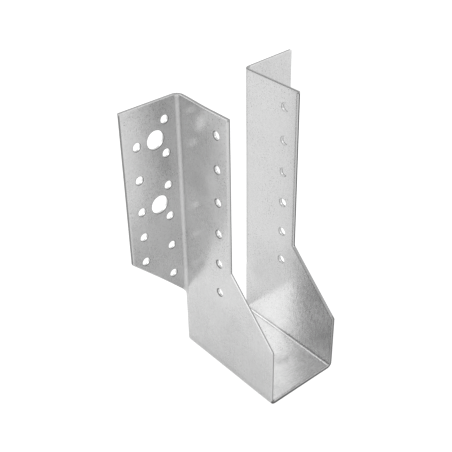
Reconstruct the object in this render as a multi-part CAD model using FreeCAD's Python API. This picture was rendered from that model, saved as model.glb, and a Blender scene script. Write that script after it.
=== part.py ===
# Face-mount joist hanger, cut and folded from one piece of galvanised steel sheet.
# A seat carries the end of the joist, two webs stand up beside it, and two flanges
# turn outwards from the webs' back edges and lie against the header.
# Millimetres. +Z is up, and the joist comes in from -Y. The origin is on the underside
# of the seat, midway across the width and midway between header plane and front edge.

import FreeCAD, Part
import math
import os

# Sheet
thickness = 2.0
bend_radius = 1.5                # inside radius of the folds between seat and webs
flange_bend_radius = 2.5         # inside radius of the folds between webs and flanges

# Joist pocket
joist_width = 46.0               # clear width between the webs
web_height = 167.0               # from the top of the seat to the top edge
seat_depth = 77.5                # header plane to the front edge of the seat
web_top_depth = 43.0             # header plane to the front edge of the upper web
front_edge_height = 38.0         # underside to the start of the sloped front edge
front_slope_deg = 45.0
back_edge_set_in = 2.4           # header plane to the back edge of the seat and lower web

# Header flanges
flange_reach = 37.5              # inside face of the web to the outer edge of the flange
flange_foot_height = 42.5        # underside to the flange's lower edge, beside the fold
flange_slope_deg = 45.0
foot_corner_radius = 3.0         # rounded inner corner where flange and back edge meet

# Holes
nail_hole_diameter = 5.0
bolt_hole_diameter = 11.0
top_margin = 12.0                # top edge to the first row of nail holes
row_pitch = 20.0
outer_column_drop = 10.0         # outer column and bolts start this far below the first row
outer_column_wide_rows = 3       # rows of the outer column at the full pitch
outer_column_close_pitch = 16.5  # pitch of the rows below them
bolt_pitch = 40.0
bolt_rows = 2
outer_column_margin = 9.0        # flange's outer edge to the outer column
bolt_column_margin = 21.0        # flange's outer edge to the bolt holes
inner_column_offset = 10.0       # inside face of the web to the inner column
web_column_margin = 9.0          # front edge of the upper web to the joist nail column
slope_clearance = 7.0            # least drop from a nail hole's centre to a sloped edge

# Worked out from the sizes above
outer_radius = bend_radius + thickness
flange_outer_radius = flange_bend_radius + thickness
web_inside = joist_width / 2
web_outside = web_inside + thickness
flange_edge = web_inside + flange_reach
inner_column = web_inside + inner_column_offset
outer_column = flange_edge - outer_column_margin
bolt_column = flange_edge - bolt_column_margin
fold_end = web_inside + flange_outer_radius
top = thickness + web_height
header_plane = seat_depth / 2
front = header_plane - seat_depth
web_top_front = header_plane - web_top_depth
fold_start = header_plane - flange_outer_radius
back_edge = header_plane - back_edge_set_in
front_slope = math.tan(math.radians(front_slope_deg))
flange_slope = math.tan(math.radians(flange_slope_deg))
slope_top = front_edge_height + (web_top_front - front) * front_slope
corner_height = flange_foot_height - (fold_end - web_outside) * flange_slope
corner_angle = math.radians(90 + flange_slope_deg)
corner_tangent = foot_corner_radius / math.tan(corner_angle / 2)
fold_foot = corner_height - corner_tangent


def line(start, end):
    """Straight edge between two points."""
    return Part.LineSegment(FreeCAD.Vector(*start), FreeCAD.Vector(*end)).toShape()


def arc(centre, radius, across, up, from_deg, to_deg):
    """Round edge about centre in the plane of the unit vectors across and up."""
    def point(degrees):
        angle = math.radians(degrees)
        return centre + across * (radius * math.cos(angle)) + up * (radius * math.sin(angle))
    middle = (from_deg + to_deg) / 2
    return Part.Arc(point(from_deg), point(middle), point(to_deg)).toShape()


def plate(edges, direction):
    """Solid swept from the closed outline of edges along direction."""
    wire = Part.Wire(Part.__sortEdges__(edges))
    return Part.Face(wire).extrude(direction)


def channel():
    """Seat and both webs: the U section, with its two lower folds, swept from front to back."""
    across = FreeCAD.Vector(1, 0, 0)
    up = FreeCAD.Vector(0, 0, 1)
    edges = [
        line((-web_outside, front, top), (-web_inside, front, top)),
        line((web_inside, front, top), (web_outside, front, top)),
    ]
    for wall, radius, floor in (
        (web_outside, outer_radius, 0.0),
        (web_inside, bend_radius, thickness),
    ):
        bend = wall - radius
        right = FreeCAD.Vector(bend, front, floor + radius)
        left = FreeCAD.Vector(-bend, front, floor + radius)
        edges += [
            line((-wall, front, top), (-wall, front, floor + radius)),
            arc(left, radius, across, up, 180, 270),
            line((-bend, front, floor), (bend, front, floor)),
            arc(right, radius, across, up, 270, 360),
            line((wall, front, floor + radius), (wall, front, top)),
        ]
    return plate(edges, FreeCAD.Vector(0, seat_depth, 0))


def web_outline():
    """Outline of a web seen from the side, as a block as wide as the channel."""
    corners = [
        (front, 0.0),
        (front, front_edge_height),
        (web_top_front, slope_top),
        (web_top_front, top),
        (fold_start, top),
        (fold_start, fold_foot),
        (back_edge, fold_foot),
        (back_edge, 0.0),
    ]
    ends = corners[1:] + corners[:1]
    edges = [line((-web_outside, *a), (-web_outside, *b)) for a, b in zip(corners, ends)]
    return plate(edges, FreeCAD.Vector(2 * web_outside, 0, 0))


def flange_blank():
    """Right flange and its fold as an upright L, before its lower edge is cut."""
    across = FreeCAD.Vector(1, 0, 0)
    back = FreeCAD.Vector(0, 1, 0)
    centre = FreeCAD.Vector(fold_end, fold_start, fold_foot)
    face = header_plane - thickness
    edges = [
        line((web_inside, fold_start, fold_foot), (web_outside, fold_start, fold_foot)),
        arc(centre, flange_outer_radius, across, back, 180, 90),
        arc(centre, flange_bend_radius, across, back, 180, 90),
        line((fold_end, header_plane, fold_foot), (flange_edge, header_plane, fold_foot)),
        line((fold_end, face, fold_foot), (flange_edge, face, fold_foot)),
        line((flange_edge, face, fold_foot), (flange_edge, header_plane, fold_foot)),
    ]
    return plate(edges, FreeCAD.Vector(0, 0, top - fold_foot))


def flange_offcut():
    """What the sloped lower edge and its rounded inner corner take off the right flange."""
    across = FreeCAD.Vector(1, 0, 0)
    up = FreeCAD.Vector(0, 0, 1)
    run = corner_tangent * math.cos(math.radians(flange_slope_deg))
    rise = corner_tangent * math.sin(math.radians(flange_slope_deg))
    slope_start = (web_outside + run, fold_start, corner_height + rise)
    beyond = flange_edge + thickness
    slope_end = (beyond, fold_start, corner_height + (beyond - web_outside) * flange_slope)
    centre = FreeCAD.Vector(web_outside + foot_corner_radius, fold_start, fold_foot)
    under = fold_foot - thickness
    edges = [
        arc(centre, foot_corner_radius, across, up, 180, 90 + flange_slope_deg),
        line(slope_start, slope_end),
        line(slope_end, (beyond, fold_start, under)),
        line((beyond, fold_start, under), (web_outside, fold_start, under)),
        line((web_outside, fold_start, under), (web_outside, fold_start, fold_foot)),
    ]
    return plate(edges, FreeCAD.Vector(0, flange_outer_radius, 0))


def mirrored(shape):
    """The same shape on the other side of the hanger."""
    return shape.mirror(FreeCAD.Vector(0, 0, 0), FreeCAD.Vector(1, 0, 0))


def rows(first, pitch, lowest):
    """Heights from first downwards, a pitch apart, while they stay at or above lowest."""
    count = int((first - lowest) / pitch) + 1
    return [first - pitch * i for i in range(count)]


def flange_edge_height(x):
    """Height of the flange's sloped lower edge at this distance from the middle."""
    return corner_height + (x - web_outside) * flange_slope


def inner_rows():
    """Heights of the nail holes in the flanges' inner column, and of those in the webs beside it."""
    return rows(top - top_margin, row_pitch, flange_edge_height(inner_column) + slope_clearance)


def outer_rows():
    """Heights of the nail holes in the flanges' outer column: wide rows, then close ones below."""
    first = top - top_margin - outer_column_drop
    lowest = flange_edge_height(outer_column) + slope_clearance
    last_wide = first - row_pitch * (outer_column_wide_rows - 1)
    wide = rows(first, row_pitch, max(last_wide, lowest))
    return wide + rows(wide[-1], outer_column_close_pitch, lowest)[1:]


def flange_holes():
    """Centres and diameters of the right flange's holes, as (x, z, diameter)."""
    first_bolt = top - top_margin - outer_column_drop
    bolt_heights = [first_bolt - bolt_pitch * i for i in range(bolt_rows)]
    holes = [(inner_column, z, nail_hole_diameter) for z in inner_rows()]
    holes += [(outer_column, z, nail_hole_diameter) for z in outer_rows()]
    holes += [(bolt_column, z, bolt_hole_diameter) for z in bolt_heights]
    return holes


def drilled(hanger):
    """The hanger with every hole cut: each flange's by itself, the webs' right across."""
    tools = []
    for x, z, diameter in flange_holes():
        for side in (-1, 1):
            start = FreeCAD.Vector(side * x, fold_start, z)
            along = FreeCAD.Vector(0, 1, 0)
            tools.append(Part.makeCylinder(diameter / 2, 2 * flange_outer_radius, start, along))
    for z in inner_rows():
        start = FreeCAD.Vector(-2 * web_outside, web_top_front + web_column_margin, z)
        along = FreeCAD.Vector(1, 0, 0)
        tools.append(Part.makeCylinder(nail_hole_diameter / 2, 4 * web_outside, start, along))
    return hanger.cut(tools)


pocket = channel().common(web_outline())
flange = flange_blank().cut(flange_offcut())
folded = pocket.fuse([flange, mirrored(flange)]).removeSplitter()
joist_hanger = drilled(folded)
if joist_hanger.ShapeType == "Compound":
    joist_hanger = joist_hanger.Solids[0]

os.makedirs("parts", exist_ok=True)
joist_hanger.exportStep("parts/joist_hanger.step")

box = joist_hanger.BoundBox
print("solids", len(joist_hanger.Solids), "valid", joist_hanger.isValid())
print("volume", round(joist_hanger.Volume, 1), "faces", len(joist_hanger.Faces))
print("size", round(box.XLength, 2), round(box.YLength, 2), round(box.ZLength, 2))
print("lowest corner", round(box.XMin, 2), round(box.YMin, 2), round(box.ZMin, 2))
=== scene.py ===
# Looks of a face-mount joist hanger folded from one piece of hot-dip galvanised steel sheet.
import math

import bpy
import numpy as np
from mathutils import Matrix, Vector
from mathutils.geometry import delaunay_2d_cdt


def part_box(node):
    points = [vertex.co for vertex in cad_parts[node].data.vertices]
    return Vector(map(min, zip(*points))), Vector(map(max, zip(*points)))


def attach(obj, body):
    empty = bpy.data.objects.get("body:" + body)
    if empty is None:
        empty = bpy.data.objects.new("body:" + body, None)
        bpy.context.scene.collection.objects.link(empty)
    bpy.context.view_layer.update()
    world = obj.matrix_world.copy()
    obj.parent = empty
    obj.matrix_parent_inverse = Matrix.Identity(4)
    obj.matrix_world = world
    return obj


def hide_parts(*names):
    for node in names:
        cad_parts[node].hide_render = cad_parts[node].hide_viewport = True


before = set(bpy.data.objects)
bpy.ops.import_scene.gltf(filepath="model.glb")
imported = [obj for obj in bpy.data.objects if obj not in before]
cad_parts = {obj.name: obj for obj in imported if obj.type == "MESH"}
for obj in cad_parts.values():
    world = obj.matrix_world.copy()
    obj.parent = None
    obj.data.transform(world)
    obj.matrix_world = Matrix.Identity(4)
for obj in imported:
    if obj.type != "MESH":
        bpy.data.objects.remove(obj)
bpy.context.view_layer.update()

# Hanger. It is one strip of 2 mm galvanised steel, cut to outline, punched and then folded four times.
# A place on the flat blank is (s, w) in millimetres: s runs from the middle of the seat up a web,
# negative to the left, and w from the front edge back to the header and out along a flange.
MM = 0.001
low, high = [np.array(corner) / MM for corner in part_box("joist_hanger")]
front_to_back = high[1] - low[1]
thickness = 2.0
seat_fold_radius = 1.5
flange_fold_radius = 2.5
web_inside = 23.0
flange_foot_height = 42.5

# The photographed hanger was cut and folded slightly askew, so these sizes differ from side to side.
web_top_front = {"left": 34.5, "right": 34.2}
slope_start = {"left": 39.3, "right": 37.2}
slope_end = {"left": 74.7, "right": 71.5}
back_edge_set_in = {"left": 1.9, "right": 2.4}
notch_lift = {"left": 0.6, "right": 0.0}
flange_fold_angle = {"left": math.radians(90.0), "right": math.radians(87.3)}
fold_lean = {"left": 0.9, "right": 0.0}

outside_radius = seat_fold_radius + thickness
seat_fold_middle = seat_fold_radius + thickness / 2
seat_fold_start = web_inside - seat_fold_radius
seat_fold_end = seat_fold_start + seat_fold_middle * math.pi / 2
flange_fold_middle = flange_fold_radius + thickness / 2
flange_fold_start = front_to_back - flange_fold_radius - thickness
flange_fold_end = flange_fold_start + flange_fold_middle * math.pi / 2
flange_fold_reach = web_inside + flange_fold_radius + thickness


def up_the_web(height):
    """Place s of a height on a web's flat: the seat's half, its fold, then the rise above the fold."""
    return seat_fold_end + height - outside_radius


def out_along_flange(reach):
    """Place w of a distance from the middle on a flange's flat, counted on from the flange's fold."""
    return flange_fold_end + reach - flange_fold_reach


strip_end = up_the_web(high[2])
flange_end = out_along_flange(high[0])
back_edge = {side: front_to_back - set_in for side, set_in in back_edge_set_in.items()}
flange_foot_end = up_the_web(flange_foot_height) + flange_end - flange_fold_end


def half_corners(side):
    """Corners of one half of the blank, with s positive: up the sloped front edge, along the top,
    down the flange's outer edge and in to the notch beside the web.

    The edge under the flange runs at 45 degrees, so the notch lies as far below the flange's outer
    corner along s as it lies from it along w, apart from its lift.
    """
    outer_edge = flange_end + fold_lean[side]
    notch = flange_foot_end - (outer_edge - back_edge[side]) + notch_lift[side]
    return np.array([
        (up_the_web(slope_start[side]), 0.0),
        (up_the_web(slope_end[side]), web_top_front[side]),
        (strip_end, web_top_front[side]),
        (strip_end, outer_edge),
        (flange_foot_end, outer_edge),
        (notch, back_edge[side]),
    ])


die_corner = 0.8
top_corner = 0.5
notch_corner = 2.0
half_radii = [die_corner, die_corner, top_corner, top_corner, die_corner, notch_corner]
blank_corners = np.vstack([half_corners("right"), half_corners("left")[::-1] * (-1, 1)])
corner_radii = np.array(half_radii + half_radii[::-1])

# Nail and bolt holes, in columns along each web and flange. The flanges' columns move out with a
# leaning fold, so that each hole is where the frame has it.
nail_radius = 2.5
bolt_radius = 5.5
top_margin = 12.0
row_pitch = 20.0
close_pitch = 16.5
bolt_pitch = 40.0
outer_column_drop = 10.0
web_column_margin = 9.0
inner_column_offset = 10.0
outer_column_margin = 9.0
bolt_column_margin = 21.0
first_row = high[2] - top_margin
inner_heights = first_row - row_pitch * np.arange(6)
outer_drops = np.cumsum([0.0, row_pitch, row_pitch, close_pitch, close_pitch])
outer_heights = first_row - outer_column_drop - outer_drops
bolt_heights = first_row - outer_column_drop - bolt_pitch * np.arange(2)
columns = [
    (inner_heights, web_top_front["left"] + web_column_margin, nail_radius),
    (inner_heights, out_along_flange(web_inside + inner_column_offset), nail_radius),
    (outer_heights, out_along_flange(high[0] - outer_column_margin), nail_radius),
    (bolt_heights, out_along_flange(high[0] - bolt_column_margin), bolt_radius),
]
hole_list = [
    (sign * up_the_web(height), column + fold_lean[side] * (column > flange_fold_end), radius)
    for heights, column, radius in columns
    for height in heights
    for sign, side in ((-1, "left"), (1, "right"))
]
hole_centres = np.array([hole[:2] for hole in hole_list])
hole_radii = np.array([hole[2] for hole in hole_list])

outline_step = 0.5
hole_step = 0.45
least_radius = 0.02
hole_inset_share = 0.6
hole_counts = [int(math.tau * radius / hole_step) for radius in hole_radii]


def outline(inset, spacing=outline_step, corner_steps=6):
    """The blank's rounded outline, moved inwards by inset, as places and directions out of the sheet.

    Each edge is moved along its own inward normal, and neighbours meet where both moves agree.
    A corner becomes an arc about the point that is one radius inside both edges. The edges between
    arcs are divided evenly, into as many steps for every inset, so that outlines can be bridged.
    """
    along = np.roll(blank_corners, -1, axis=0) - blank_corners
    lengths = np.hypot(*along.T)
    along = along / lengths[:, None]
    before = np.roll(along, 1, axis=0)
    inward = np.stack([-along[:, 1], along[:, 0]], 1)
    inward_before = np.roll(inward, 1, axis=0)
    agreement = 1 + (inward * inward_before).sum(1, keepdims=True)
    moved = blank_corners + inset * (inward + inward_before) / agreement
    turn = np.arctan2(before[:, 0] * along[:, 1] - before[:, 1] * along[:, 0], (before * along).sum(1))
    way = np.sign(turn)
    radius = np.maximum(corner_radii - way * inset, least_radius)
    start = moved - before * (radius * np.tan(abs(turn) / 2))[:, None]
    centre = start + inward_before * (way * radius)[:, None]
    angle = turn[:, None] * np.linspace(0, 1, corner_steps + 1)
    cos, sin = np.cos(angle)[..., None], np.sin(angle)[..., None]
    across = np.stack([-inward_before[:, 1], inward_before[:, 0]], 1)
    out = -(inward_before[:, None] * cos + across[:, None] * sin)
    arcs = centre[:, None] + out * (way * radius)[:, None, None]
    places, directions = [], []
    for i, steps in enumerate(np.ceil(lengths / spacing).astype(int)):
        share = np.linspace(0, 1, steps + 1)[1:-1, None]
        next_arc = arcs[(i + 1) % len(arcs), 0]
        places += [arcs[i], arcs[i, -1] + (next_arc - arcs[i, -1]) * share]
        directions += [out[i], np.repeat(-inward[i:i + 1], steps - 1, axis=0)]
    return np.vstack(places), np.vstack(directions)


def hole_edges(inset):
    """Every hole's edge, clockwise, grown by inset: its centre plus a circle, facing the centre."""
    places, directions = [], []
    for centre, radius, count in zip(hole_centres, hole_radii, hole_counts):
        angle = -np.linspace(0, math.tau, count, endpoint=False)
        circle = np.stack([np.cos(angle), np.sin(angle)], 1)
        places.append(centre + circle * (radius + inset))
        directions.append(-circle)
    return np.vstack(places), np.vstack(directions)


def loops(inset):
    """Outline and hole edges together, at one inset. Around the holes it is taken smaller."""
    parts = [outline(inset), hole_edges(hole_inset_share * inset)]
    return np.vstack([part[0] for part in parts]), np.vstack([part[1] for part in parts])


# The point that follows each one round its own loop: the next, or the first again after the last.
outline_count = len(outline(0.0)[0])
loop_counts = np.array([outline_count] + hole_counts)
loop_ends = np.cumsum(loop_counts)
following = np.arange(loop_ends[-1]) + 1
following[loop_ends - 1] = loop_ends - loop_counts

# Cut edges. The punch rolls the sheet over on its outer side, shears a smooth land and breaks the rest
# away, so each edge has a small round, a straight band and a slightly drawn-back, rougher band.
# Rows run from the outer face (depth 0) to the inner one: inset, depth, facing out, facing inner.
face_band = 1.4
roll_width = 0.55
roll_depth = 0.38
roll_start = 0.05
land_depth = 1.05
break_draw = 0.06
roll_angle = np.radians(np.linspace(6, 90, 8))
roll = np.stack([
    roll_width * (1 - np.sin(roll_angle)),
    roll_start + roll_depth * (1 - np.cos(roll_angle)),
    np.sin(roll_angle) * roll_depth,
    -np.cos(roll_angle) * roll_width,
], 1)
edge_rows = np.vstack([
    (face_band, 0.0, 0.0, -1.0),
    (1.05, 0.014, 0.05, -1.0),
    roll,
    (0.0, land_depth, 1.0, 0.0),
    (0.5 * break_draw, land_depth + 0.12, 1.0, 0.0),
    (break_draw, thickness - 0.22, 1.0, 0.1),
    (break_draw + 0.08, thickness - 0.06, 0.8, 0.8),
    (break_draw + 0.28, thickness, 0.15, 1.0),
    (face_band, thickness, 0.0, 1.0),
])

# How far each row takes part in the dull outer half of a cut, in its inner half, and in a hole's rim.
outer_half = np.array([0, 0, 0, 0, 0.1, 0.3, 0.6, 0.9, 1, 1, 1, 0, 0, 0, 0, 0], float)
inner_half = np.array([0, 0, 0, 0, 0, 0, 0, 0, 0, 0, 0, 1, 1, 0.8, 0.1, 0], float)
hole_rims = np.array([0, 0, 0, 0.3, 0.7, 1, 1, 1, 0.9, 0.75, 0, 0, 0, 0.5, 0.15, 0], float)

# A flange's fold begins a little under the notch, at this height, and is whole just above it. The lean
# comes in from the same height but more slowly, and from the middle of the web backwards.
fold_begins = 34.0
fold_blend = 5.5
lean_blend = 26.0
lean_front = 50.0


def waviness(s, w):
    """Slow waves of rolled sheet: one sine wave along s times one along w, at most 0.04 mm high, plus
    two that run aslant, each at most 0.01 mm high."""
    return (
        0.040 * np.sin(s / 17.0 + 0.7) * np.cos(w / 23.0 + 0.4)
        + 0.010 * np.sin(s / 9.5 - w / 14.0 + 2.1)
        + 0.008 * np.cos(s / 31.0 + w / 8.0 + 1.3)
    )


def eased(value):
    """Value held between 0 and 1 and rounded off there: three times its square less twice its cube."""
    value = np.clip(value, 0, 1)
    return value * value * (3 - 2 * value)


def folded(s, w, depth):
    """Where a point of the blank lies on the folded hanger, in millimetres.

    The seat folds first. Along s the sheet is flat, then turns up through a quarter circle about
    a line above the seat, then runs straight up. Past the flange's fold the same is done along w:
    flat, an arc of that side's fold angle about a line outside the web, then straight out. Depth,
    with the sheet's waviness, is how far the point lies from the outer face, so it is taken from
    the seat fold's outside radius and added to the flange fold's inside radius. Under the notch
    nothing folds along w, and the fold comes in smoothly there. Last, the lean moves the rear of
    the web and its flange towards the middle.
    """
    side = np.where(s < 0, -1.0, 1.0)
    fold_angle = np.where(s < 0, flange_fold_angle["left"], flange_fold_angle["right"])
    whole_lean = np.where(s < 0, fold_lean["left"], fold_lean["right"])
    s = abs(s)
    height = depth + waviness(side * s, w)
    turn = np.clip((s - seat_fold_start) / seat_fold_middle, 0, math.pi / 2)
    from_centre = outside_radius - height
    rise = np.maximum(s - seat_fold_end, 0)
    x = np.minimum(s, seat_fold_start) + from_centre * np.sin(turn)
    z = outside_radius - from_centre * np.cos(turn) + rise
    flange_turn = np.clip((w - flange_fold_start) / flange_fold_middle, 0, fold_angle)
    past_fold = np.maximum(w - flange_fold_start - flange_fold_middle * fold_angle, 0)
    from_outer_centre = flange_fold_radius + height
    out = from_outer_centre * (1 - np.cos(flange_turn)) + past_fold * np.sin(fold_angle)
    back = np.minimum(w, flange_fold_start) + from_outer_centre * np.sin(flange_turn)
    back = back + past_fold * np.cos(fold_angle)
    above_foot = s - up_the_web(fold_begins)
    share = eased(above_foot / fold_blend)
    lean = whole_lean * eased((w - lean_front) / (flange_fold_start - lean_front))
    lean = lean * eased(above_foot / lean_blend)
    x = x + share * out - lean
    y = low[1] + w + share * (back - w)
    return np.stack([side * x, y, z], -1)


def facing(s, w, depth, out, inner):
    """Direction that the surface faces: the sum of the sheet's own directions there.

    out is the share along the blank, as a pair for s and w, and inner the share towards the inner
    face. The sheet's directions are small steps of the fold along s and w, and the step across
    both points to the inner face.
    """
    step = 0.01
    along_s = folded(s + step, w, depth) - folded(s - step, w, depth)
    along_w = folded(s, w + step, depth) - folded(s, w - step, depth)
    along_s /= np.linalg.norm(along_s, axis=-1, keepdims=True)
    along_w /= np.linalg.norm(along_w, axis=-1, keepdims=True)
    to_inner = np.cross(along_s, along_w)
    total = out[..., :1] * along_s + out[..., 1:] * along_w + inner[..., None] * to_inner
    return total / np.linalg.norm(total, axis=-1, keepdims=True)


def even_steps(start, end, step=3.0):
    """Evenly spaced places from start to end, about a step apart."""
    return np.linspace(start, end, int(round((end - start) / step)) + 1)


def inside_blank(places, inset):
    """Which places lie inside the outline moved in by inset: a line to one side crosses it an odd
    number of times. Places inside a hole grown by its share of inset don't count."""
    corners = outline(inset, spacing=strip_end)[0]
    ends = np.roll(corners, -1, axis=0)
    s, w = places[:, :1], places[:, 1:]
    spans = (corners[:, 1] > w) != (ends[:, 1] > w)
    height = np.where(ends[:, 1] == corners[:, 1], 1.0, ends[:, 1] - corners[:, 1])
    crossing = corners[:, 0] + (w - corners[:, 1]) / height * (ends[:, 0] - corners[:, 0])
    inside = (spans & (s < crossing)).sum(1) % 2 == 1
    gap = np.linalg.norm(places[:, None] - hole_centres, axis=2) - hole_radii
    return inside & (gap.min(1) > hole_inset_share * inset)


# Faces of the sheet. Places stand in rows, close together in the folds, and triangles fill the room
# between them and the loops that lie one face band inside the cut edges.
seat_fold_rows = 12
flange_fold_rows = 16
loop_clearance = 0.35
merging_distance = 1e-6
right_stations = np.concatenate([
    even_steps(0.0, seat_fold_start),
    np.linspace(seat_fold_start, seat_fold_end, seat_fold_rows + 1)[1:],
    even_steps(seat_fold_end, strip_end)[1:],
])
s_stations = np.concatenate([-right_stations[:0:-1], right_stations])
w_stations = np.concatenate([
    even_steps(0.0, flange_fold_start),
    np.linspace(flange_fold_start, flange_fold_end, flange_fold_rows + 1)[1:],
    even_steps(flange_fold_end, flange_end)[1:],
])
grid = np.stack(np.meshgrid(s_stations, w_stations, indexing="ij"), -1).reshape(-1, 2)
grid = grid[inside_blank(grid, face_band + loop_clearance)]

face_loops = loops(face_band)[0]
loop_total = len(face_loops)
flat_places = np.vstack([face_loops, grid])
loop_edges = np.stack([np.arange(loop_total), following], 1).tolist()
flat_points = [Vector(place) for place in flat_places]
found = delaunay_2d_cdt(flat_points, loop_edges, [], 0, merging_distance, True)
origin_of = np.array([sources[0] for sources in found[3]])
triangles = origin_of[np.array(found[2])]
triangles = triangles[inside_blank(flat_places[triangles].mean(1), face_band)]
first, second, third = flat_places[triangles].transpose(1, 0, 2)
one_way, other_way = second - first, third - first
turned = one_way[:, 0] * other_way[:, 1] - one_way[:, 1] * other_way[:, 0] < 0
triangles[turned] = triangles[turned][:, ::-1]

# Points: the inner face, then the outer face, then the rows of the cut edges that lie between.
flat_total = len(flat_places)
middle_rows = edge_rows[1:-1]
row_total = len(middle_rows)
row_loops = [loops(row[0]) for row in middle_rows]
row_places = np.stack([loop[0] for loop in row_loops])
row_out = np.stack([loop[1] for loop in row_loops]) * middle_rows[:, 2][:, None, None]
places = np.vstack([flat_places, flat_places, row_places.reshape(-1, 2)])
depths = np.concatenate([
    np.full(flat_total, thickness),
    np.zeros(flat_total),
    np.repeat(middle_rows[:, 1], loop_total),
])
outward = np.vstack([np.zeros((2 * flat_total, 2)), row_out.reshape(-1, 2)])
inner_share = np.concatenate([
    np.ones(flat_total),
    -np.ones(flat_total),
    np.repeat(middle_rows[:, 3], loop_total),
])
points = folded(places[:, 0], places[:, 1], depths) * MM
normals = facing(places[:, 0], places[:, 1], depths, outward, inner_share)

# How dull the cuts are: each stretch, then its outer and its inner half. The first that holds counts.
row_s, row_w = row_places[..., 0], row_places[..., 1]
on_left = row_s < 0
on_seat = abs(row_s) < seat_fold_end
on_top = abs(row_s) > strip_end - face_band
on_flange = row_w > flange_fold_end
at_front = row_w < face_band
left_slope = on_left & (row_w > face_band) & (row_w < web_top_front["left"] - 1.0)
left_or_flange = (row_s < -seat_fold_end) | (row_w > flange_fold_start + 2.0)
stretches = [
    (on_seat & at_front, 1.1, 0.95),
    (on_flange & on_top & on_left, 0.36, 0.9),
    (on_flange & on_top, 0.0, 1.1),
    (row_w > flange_end - face_band, 0.85, 0.85),
    (on_top, 0.58, 0.85),
    (left_slope, 0.05, 0.80),
    (left_or_flange, 0.10, 0.80),
    (at_front, 1.05, 0.80),
    (row_w < web_top_front["right"] - 0.5, 0.75, 0.75),
    (row_w < web_top_front["right"] + face_band, 1.15, 0.20),
    (row_w < np.inf, 0.95, 0.45),
]
masks, outer_dulls, inner_dulls = [list(values) for values in zip(*stretches)]
row_dull = outer_half[1:-1, None] * np.select(masks, outer_dulls)
row_dull = row_dull + inner_half[1:-1, None] * np.select(masks, inner_dulls)
row_dull[:, outline_count:] = hole_rims[1:-1, None]

# The flanges' folds are a little dull from the bending. Painted shade darkens the inside of the seat's
# folds: beside the seat more so towards the back, and beside the web more so towards the front.
worked_from = up_the_web(38.0)
flat_s, flat_w = flat_places.T
in_fold = (flat_w > flange_fold_start) & (flat_w < flange_fold_end) & (abs(flat_s) > worked_from)
fold_dull = np.where(in_fold, 0.08, 0.0)
up_seat_fold = np.clip((abs(flat_s) - seat_fold_start) / (seat_fold_end - seat_fold_start), 0, 1)
to_back = flat_w / back_edge["right"]
painted_corner_shade = np.select(
    [up_seat_fold == 0, up_seat_fold < 0.15, up_seat_fold < 0.5, up_seat_fold < 1],
    [0.0, 0.4 * to_back, 0.04 + 0.28 * to_back, 0.37 - 0.17 * to_back],
)
# Dullness of the cuts and folds, and the painted shade inside the seat's folds.
dull_and_painted_shade = np.concatenate([fold_dull + painted_corner_shade, fold_dull, row_dull.ravel()])
worked = np.concatenate([in_fold, in_fold, np.zeros(row_dull.size)])

# Mesh. Quads join each row of the cut edges to the next, from the outer face's loops to the inner's.
outer_row = flat_total + np.arange(loop_total)
between = 2 * flat_total + np.arange(row_total * loop_total).reshape(row_total, loop_total)
rows = np.vstack([outer_row, between, np.arange(loop_total)])
quads = np.stack([rows[:-1], rows[:-1][:, following], rows[1:][:, following], rows[1:]], -1)
corner_index = np.concatenate([
    triangles.ravel(),
    (triangles[:, ::-1] + flat_total).ravel(),
    quads.ravel(),
]).astype(np.int32)
face_sizes = np.concatenate([np.full(2 * len(triangles), 3), np.full(quads.size // 4, 4)])
face_starts = np.concatenate([[0], np.cumsum(face_sizes)[:-1]]).astype(np.int32)

hanger_mesh = bpy.data.meshes.new("folded_sheet")
hanger_mesh.vertices.add(len(points))
hanger_mesh.vertices.foreach_set("co", points.astype(np.float32).ravel())
hanger_mesh.loops.add(len(corner_index))
hanger_mesh.loops.foreach_set("vertex_index", corner_index)
hanger_mesh.polygons.add(len(face_starts))
hanger_mesh.polygons.foreach_set("loop_start", face_starts)
hanger_mesh.update(calc_edges=True)
hanger_mesh.validate()

# What the zinc reads at each point. Depth is spread out, so that each face has patterns of its own.
depth_spread = 20
inner_depth = thickness * depth_spread
blank_place = np.column_stack([places, depths * depth_spread]) * MM
hanger_mesh.attributes.new("blank_place", "FLOAT_VECTOR", "POINT")
hanger_mesh.attributes["blank_place"].data.foreach_set("vector", blank_place.astype(np.float32).ravel())
for attribute, values in (("dull_and_painted_shade", dull_and_painted_shade), ("worked", worked)):
    hanger_mesh.attributes.new(attribute, "FLOAT", "POINT")
    hanger_mesh.attributes[attribute].data.foreach_set("value", values.astype(np.float32))
hanger_mesh.shade_smooth()
hanger_mesh.normals_split_custom_set_from_vertices(normals)

hanger = bpy.data.objects.new("folded_hanger", hanger_mesh)
bpy.context.collection.objects.link(hanger)

# Zinc coat. Hot-dip zinc is a pale grey metal with a soft gloss, left as it cooled. It is mottled by
# its crystals, streaked along the rolling direction, pitted in clusters and smudged by handling, and
# some painted shade and painted light lie on it too.
zinc = bpy.data.materials.new("hot_dip_zinc")
zinc.use_nodes = True
tree = zinc.node_tree
shader = tree.nodes["Principled BSDF"]


def add(kind, **settings):
    """A new node in the current tree, with the settings that are given by name."""
    made = tree.nodes.new(kind)
    for name, value in settings.items():
        setattr(made, name, value)
    return made


def stretched(vector, scale):
    """The vector with each of its parts multiplied by its own scale."""
    made = add("ShaderNodeMapping")
    made.inputs["Scale"].default_value = scale
    tree.links.new(vector, made.inputs["Vector"])
    return made.outputs["Vector"]


def distance(vector, point):
    """How far the vector lies from a fixed point."""
    made = add("ShaderNodeVectorMath", operation="DISTANCE")
    made.inputs[1].default_value = point
    tree.links.new(vector, made.inputs[0])
    return made.outputs["Value"]


def noise(vector, scale, detail=2.0, roughness=0.5):
    """Value of a noise pattern read at vector."""
    made = add("ShaderNodeTexNoise")
    made.inputs["Scale"].default_value = scale
    made.inputs["Detail"].default_value = detail
    made.inputs["Roughness"].default_value = roughness
    tree.links.new(vector, made.inputs["Vector"])
    return made.outputs["Fac"]


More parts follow.
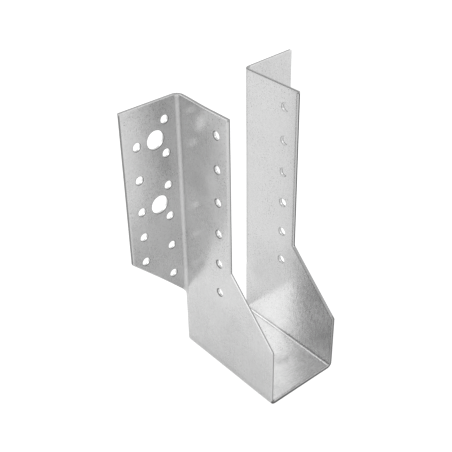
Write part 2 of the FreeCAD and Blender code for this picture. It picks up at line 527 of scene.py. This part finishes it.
def spread(value, low_in, high_in, low_out, high_out):
    """Value taken from one range to another, held at the new range's ends."""
    made = add("ShaderNodeMapRange")
    made.inputs["From Min"].default_value = low_in
    made.inputs["From Max"].default_value = high_in
    made.inputs["To Min"].default_value = low_out
    made.inputs["To Max"].default_value = high_out
    tree.links.new(value, made.inputs["Value"])
    return made.outputs["Result"]


def fade(value, start, end, before, after):
    """An amount that changes from before to after between two places, given in millimetres."""
    return spread(value, start * MM, end * MM, before, after)


def swing(pattern, amount, least=0.3, most=0.7):
    """A pattern's range, from its least to its most, taken to an amount below and above nothing."""
    return spread(pattern, least, most, -amount, amount)


def combine(operation, first_item, *others):
    """Values or numbers put together by one operation, from the first to the last."""
    for other in others:
        made = add("ShaderNodeMath", operation=operation)
        for socket, item in zip(made.inputs, (first_item, other)):
            if isinstance(item, (int, float)):
                socket.default_value = item
            else:
                tree.links.new(item, socket)
        first_item = made.outputs["Value"]
    return first_item


place = add("ShaderNodeAttribute", attribute_name="blank_place").outputs["Vector"]
# The dullness also carries the painted shade inside the seat's folds.
dullness_and_shade = add("ShaderNodeAttribute", attribute_name="dull_and_painted_shade").outputs["Fac"]
worked_fold = add("ShaderNodeAttribute", attribute_name="worked").outputs["Fac"]
place_parts = add("ShaderNodeSeparateXYZ")
tree.links.new(place, place_parts.inputs[0])
strip_place, back_place, depth_place = place_parts.outputs

# Patterns. A scale says about how many patches lie along one metre of sheet, and the streaks are
# drawn out along the strip.
crystals = add("ShaderNodeTexVoronoi", feature="SMOOTH_F1")
crystals.inputs["Scale"].default_value = 420.0
tree.links.new(place, crystals.inputs["Vector"])
crystal_parts = add("ShaderNodeSeparateColor")
tree.links.new(crystals.outputs["Color"], crystal_parts.inputs["Color"])
crystal_tone = crystal_parts.outputs[0]
smudge = noise(place, 38.0, 3.0, 0.55)
mottle = noise(place, 520.0, 3.0, 0.6)
streaks = noise(stretched(place, (0.06, 1.0, 1.0)), 900.0, 4.0, 0.65)
grain = noise(place, 2100.0)

# Fine dark pits in clusters, fewest low on the left web.
pit_share = combine(
    "MAXIMUM",
    fade(strip_place, -100, -60, 1.3, 0.4),
    fade(strip_place, -22, -10, 0.0, 1.2),
)
clusters = combine("MULTIPLY", spread(noise(place, 45.0), 0.40, 0.60, 0.2, 1.0), pit_share)
pits = combine("MULTIPLY", spread(noise(place, 1150.0), 0.58, 0.72, 0.0, 1.0), clusters)
pit_darkness = 0.24

# Short dashes along the strip, low inside the right web and weaker on the seat and to the back.
low_inside = combine(
    "MULTIPLY",
    fade(strip_place, 60, 100, 1.0, 0.15),
    fade(strip_place, 18, 48, 0.3, 1.0),
    fade(back_place, 26, 44, 1.0, 0.12),
    fade(depth_place, 0.75 * inner_depth, inner_depth, 0.0, 1.0),
)
dashes = spread(noise(stretched(place, (0.25, 1.0, 1.0)), 1000.0), 0.48, 0.68, 0.0, 1.0)
dashes = combine("MULTIPLY", dashes, low_inside)
dash_darkness = 0.20
# Painted light: low inside the right web the coat is also made a little lighter.
low_inside_painted_light = 0.05

# Painted shade: a faint dark line along the left web's foot, on the outer face, just above the seat's
# fold.
foot_shade_place = (seat_fold_end + 1.4) * MM
from_foot_shade = combine("ABSOLUTE", combine("ADD", strip_place, foot_shade_place), 0.0)
on_outer_face = fade(depth_place, 0, 0.25 * inner_depth, 1.0, 0.0)
painted_foot_shade = combine("MULTIPLY", fade(from_foot_shade, 0.6, 2.2, 0.045, 0.0), on_outer_face)

# Tone. Every pattern swings about the coat's mean, and less so on the inner face.
coat_tone = 0.628
# Dullness darkens the coat, and so does the painted shade inside the seat's folds.
dull_and_shade_darkness = 0.46
calmer_inside = fade(depth_place, 0, inner_depth, 1.0, 0.65)
tone = combine(
    "ADD",
    swing(smudge, 0.03),
    swing(mottle, 0.03),
    swing(crystal_tone, 0.015, 0.0, 1.0),
    swing(streaks, 0.015),
    swing(grain, 0.02),
)
tone = combine("ADD", combine("MULTIPLY", tone, calmer_inside), coat_tone)
# Painted light low inside the right web.
tone = combine("ADD", tone, combine("MULTIPLY", low_inside, low_inside_painted_light))
# Subtracted: pits, dullness with the painted shade inside the seat's folds, dashes, and the painted
# shade along the left web's foot.
tone = combine(
    "SUBTRACT",
    tone,
    combine("MULTIPLY", pits, pit_darkness),
    combine("MULTIPLY", dullness_and_shade, dull_and_shade_darkness),
    combine("MULTIPLY", dashes, dash_darkness),
    painted_foot_shade,
)

# Soft darker or lighter patches on a face, a few of them marks of handling and water, the rest painted
# shade and painted light: s, w, radius and how much darker. Their edges wander, because the place that
# they are measured from is moved by a noise.
smudges_and_painted_light = {
    0: [
        (-192, 86, 11, 0.11),
        (-176, 84, 12, 0.06),
        (-158, 84, 12, 0.05),
        (-178, 101, 10, -0.05),
        (-156, 92, 9, -0.07),
        (-142, 102, 9, -0.04),
        (-84, 93, 13, -0.06),
        (-126, 72, 10, -0.02),
        (-191, 62, 8, 0.08),
        (-171, 58, 13, 0.07),
        (-180, 63, 5, 0.06),
        (-143, 56, 11, 0.07),
        (-90, 61, 5, 0.08),
        (-66, 57, 13, 0.05),
        (-50, 66, 11, 0.05),
        (-33, 71, 9, 0.06),
        (-56, 38, 15, 0.06),
        (-45, 15, 10, 0.03),
        (-168, 47, 10, 0.05),
        (-40, 62, 12, 0.04),
        (-193, 59, 8, 0.08),
        (-193, 75, 6, 0.06),
        (-74, 72, 7, -0.06),
        (172, 95, 34, 0.03),
    ],
    inner_depth: [
        (5, 22, 5, 0.16),
        (12, 20, 6, 0.05),
        (6, 20, 11, 0.03),
        (17, 5, 16, -0.11),
        (50, 11, 17, -0.07),
        (72, 54, 14, 0.06),
        (60, 63, 9, 0.06),
        (30, 66, 9, 0.04),
        (83, 36, 8, 0.06),
        (76, 20, 8, -0.08),
        (59, 5, 10, -0.09),
        (38, 14, 7, -0.04),
        (-2, 3, 9, -0.07),
        (0, 34, 24, -0.02),
        (25, 53, 5, 0.04),
        (26, 37, 6, 0.07),
    ],
}
wander_reach = 14
wander_middle = wander_reach / 2
mark_softness = 1.3
wander = add("ShaderNodeTexNoise")
wander.inputs["Scale"].default_value = 130.0
tree.links.new(place, wander.inputs["Vector"])
wandering = add("ShaderNodeVectorMath", operation="MULTIPLY_ADD")
wandering.inputs[1].default_value = (wander_reach * MM, wander_reach * MM, 0.0)
tree.links.new(wander.outputs["Color"], wandering.inputs[0])
tree.links.new(place, wandering.inputs[2])
for mark_depth, face_patches in smudges_and_painted_light.items():
    for mark_s, mark_w, radius, darker in face_patches:
        centre = ((mark_s + wander_middle) * MM, (mark_w + wander_middle) * MM, mark_depth * MM)
        away = distance(wandering.outputs["Vector"], centre)
        tone = combine("SUBTRACT", tone, fade(away, 0, mark_softness * radius, darker, 0.0))
colour = add("ShaderNodeCombineColor")
for socket in colour.inputs:
    tree.links.new(tone, socket)
tree.links.new(colour.outputs["Color"], shader.inputs["Base Color"])

# Roughness. The inner face is glossier, cuts and worked folds are duller, and one dull spot lies high
# on the left web's outer face.
outer_roughness = 0.29
inner_roughness = 0.23
dull_spot_height = 122.0
dull_spot_y = 19.4
dull_spot = (-up_the_web(dull_spot_height) * MM, (dull_spot_y - low[1]) * MM, 0.0)
matt = combine(
    "ADD",
    fade(depth_place, 0, inner_depth, outer_roughness, inner_roughness),
    fade(distance(place, dull_spot), 6, 14, 0.3, 0.0),
    swing(smudge, 0.04),
    swing(streaks, 0.03),
    swing(crystal_tone, 0.03, 0.0, 1.0),
    combine("MULTIPLY", dullness_and_shade, 0.15),
    combine("MULTIPLY", worked_fold, 0.22),
)
tree.links.new(matt, shader.inputs["Roughness"])
shader.inputs["Metallic"].default_value = 1.0

# Relief that is too fine to model: the streaks, the grain and the crystals' unevenness.
relief_height = 0.00003
relief = combine(
    "ADD",
    combine("MULTIPLY", streaks, 0.7),
    combine("MULTIPLY", grain, 1.1),
    noise(place, 950.0, 1.0),
)
bump = add("ShaderNodeBump")
bump.inputs["Strength"].default_value = 0.4
bump.inputs["Distance"].default_value = relief_height
tree.links.new(relief, bump.inputs["Height"])
tree.links.new(bump.outputs["Normal"], shader.inputs["Normal"])
hanger_mesh.materials.append(zinc)

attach(hanger, "root")
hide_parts("joist_hanger")

# Floor. The hanger stands on a plain white sheet, wide enough to fill the view from every side.
# It is white to the eye, and in the metal's reflections it is shaded close to the hanger.
floor_reach = 3.0
paper_tone = 0.22
shade_reach = 0.055
shade_at_foot = 0.42
shade_in_open = 0.97
floor_mesh = bpy.data.meshes.new("floor")
floor_mesh.from_pydata(
    [(-floor_reach, -floor_reach, 0), (floor_reach, -floor_reach, 0),
     (floor_reach, floor_reach, 0), (-floor_reach, floor_reach, 0)],
    [], [(0, 1, 2, 3)],
)
floor = bpy.data.objects.new("floor", floor_mesh)
bpy.context.collection.objects.link(floor)
paper = bpy.data.materials.new("white_paper")
paper.use_nodes = True
tree = paper.node_tree
tree.nodes.clear()
floor_output = add("ShaderNodeOutputMaterial")
floor_diffuse = add("ShaderNodeBsdfDiffuse")
floor_diffuse.inputs["Color"].default_value = (paper_tone, paper_tone, paper_tone, 1)
rays = add("ShaderNodeLightPath")
openness = add("ShaderNodeAmbientOcclusion")
openness.inputs["Distance"].default_value = shade_reach
shaded = spread(openness.outputs["AO"], 0.0, 1.0, shade_at_foot, shade_in_open)
mirrored = combine("MAXIMUM", rays.outputs["Is Glossy Ray"], rays.outputs["Is Transmission Ray"])
seen = combine("MAXIMUM", rays.outputs["Is Camera Ray"], combine("MULTIPLY", mirrored, shaded))
floor_glow = add("ShaderNodeEmission")
tree.links.new(seen, floor_glow.inputs["Strength"])
floor_sum = add("ShaderNodeAddShader")
tree.links.new(floor_diffuse.outputs[0], floor_sum.inputs[0])
tree.links.new(floor_glow.outputs[0], floor_sum.inputs[1])
tree.links.new(floor_sum.outputs[0], floor_output.inputs["Surface"])
floor_mesh.materials.append(paper)

# Studio light. The room is white to the eye and in the metal, and half as bright where it only lights
# things. A large soft panel stands behind on the left, and a weaker one in front on the right.
room_light = 0.5
room_seen = 1.08
hanger_middle = Vector((0, 0, 0.08))
world = bpy.data.worlds.new("white_room")
bpy.context.scene.world = world
world.use_nodes = True
tree = world.node_tree
rays = add("ShaderNodeLightPath")
seen = combine(
    "MAXIMUM",
    rays.outputs["Is Camera Ray"],
    rays.outputs["Is Glossy Ray"],
    rays.outputs["Is Transmission Ray"],
)
room = tree.nodes["Background"]
room.inputs["Color"].default_value = (1, 1, 1, 1)
tree.links.new(spread(seen, 0, 1, room_light, room_seen), room.inputs["Strength"])


def panel(name, position, width, height, radiance):
    """A lamp panel that faces the hanger's middle. Its power is radiance times area times pi."""
    lamp = bpy.data.lights.new(name, "AREA")
    lamp.shape = "RECTANGLE"
    lamp.size = width
    lamp.size_y = height
    lamp.energy = radiance * width * height * math.pi
    made = bpy.data.objects.new(name, lamp)
    bpy.context.collection.objects.link(made)
    made.location = position
    aim = hanger_middle - made.location
    made.rotation_euler = aim.to_track_quat("-Z", "Y").to_euler()


panel("panel_left", (-1.0, 1.2, 1.1), 1.4, 1.2, 1.28)
panel("panel_front", (1.05, -1.1, 1.4), 1.0, 1.0, 0.80)

# Camera, in front of the hanger, to its left and above, as in the photograph.
camera_data = bpy.data.cameras.new("camera")
camera_data.sensor_width = 36.0
camera_data.lens = 68.07
camera_data.clip_start = 0.01
camera = bpy.data.objects.new("camera", camera_data)
bpy.context.collection.objects.link(camera)
camera_place = (-0.2668, -0.29105, 0.3583)
camera_azimuth = math.radians(-39.90)
camera_elevation = math.radians(33.82)
camera_roll = math.radians(-1.10)
camera_turn = (
    Matrix.Rotation(camera_azimuth, 4, "Z")
    @ Matrix.Rotation(math.pi / 2 - camera_elevation, 4, "X")
    @ Matrix.Rotation(camera_roll, 4, "Z")
)
camera.matrix_world = Matrix.Translation(camera_place) @ camera_turn
bpy.context.scene.camera = camera
bpy.context.scene.view_settings.view_transform = "Standard"
